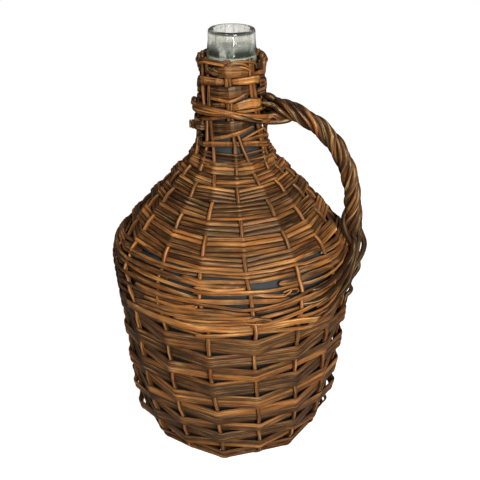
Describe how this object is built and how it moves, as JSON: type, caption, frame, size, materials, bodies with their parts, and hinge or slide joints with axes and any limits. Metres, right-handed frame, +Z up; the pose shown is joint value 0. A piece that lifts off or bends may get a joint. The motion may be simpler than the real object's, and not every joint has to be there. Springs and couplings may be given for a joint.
{
  "type": "wicker demijohn",
  "caption": "Wide-bodied glass demijohn with a short open neck, in a woven willow cover with a twisted rod handle from neck to shoulder.",
  "frame": {"origin": "middle of the underside at floor level, on the bottle's axis", "axes": "+Z up the bottle's axis, +X from the bottle's axis through the handle"},
  "size_m": [0.2159, 0.2065, 0.36],
  "materials": {
    "glass": "clear, faint grey-green, glossy",
    "stake_willow": "varnished light brown willow rod, satin",
    "skein_willow": "varnished brown split willow, satin to semi-gloss",
    "handle_willow": "varnished dark brown willow rod, semi-gloss",
    "base_willow": "brown willow, worn matt"
  },
  "bodies": {
    "root": {"glass_bottle": "glass", "stake_01": "stake_willow", "stake_02": "stake_willow", "stake_03": "stake_willow", "stake_04": "stake_willow", "stake_05": "stake_willow", "stake_06": "stake_willow", "stake_07": "stake_willow", "stake_08": "stake_willow", "stake_09": "stake_willow", "stake_10": "stake_willow", "stake_11": "stake_willow", "stake_12": "stake_willow", "stake_13": "stake_willow", "stake_14": "stake_willow", "stake_15": "stake_willow", "stake_16": "stake_willow", "stake_17": "stake_willow", "weave_course_01": "skein_willow", "weave_course_02": "skein_willow", "weave_course_03": "skein_willow", "weave_course_04": "skein_willow", "weave_course_05": "skein_willow", "weave_course_06": "skein_willow", "weave_course_07": "skein_willow", "weave_course_08": "skein_willow", "weave_course_09": "skein_willow", "weave_course_10": "skein_willow", "weave_course_11": "skein_willow", "weave_course_12": "skein_willow", "weave_course_13": "skein_willow", "weave_course_14": "skein_willow", "weave_course_15": "skein_willow", "weave_course_16": "skein_willow", "weave_course_17": "skein_willow", "weave_course_18": "skein_willow", "weave_course_19": "skein_willow", "weave_course_20": "skein_willow", "weave_course_21": "skein_willow", "weave_course_22": "skein_willow", "weave_course_23": "skein_willow", "gather_band": "skein_willow", "neck_band_1": "skein_willow", "neck_band_2": "skein_willow", "neck_band_3": "skein_willow", "neck_band_4": "skein_willow", "neck_band_5": "skein_willow", "neck_band_6": "skein_willow", "neck_wrap_rod_1": "handle_willow", "neck_wrap_rod_2": "handle_willow", "top_border_rod": "skein_willow", "handle_bow": "handle_willow", "handle_rod_1": "handle_willow", "handle_rod_2": "handle_willow", "handle_rod_3": "handle_willow", "handle_rod_4": "handle_willow", "handle_rod_5": "handle_willow", "handle_rod_6": "handle_willow", "base_cross": "base_willow", "base_hoop": "base_willow"}
  },
  "joints": []
}
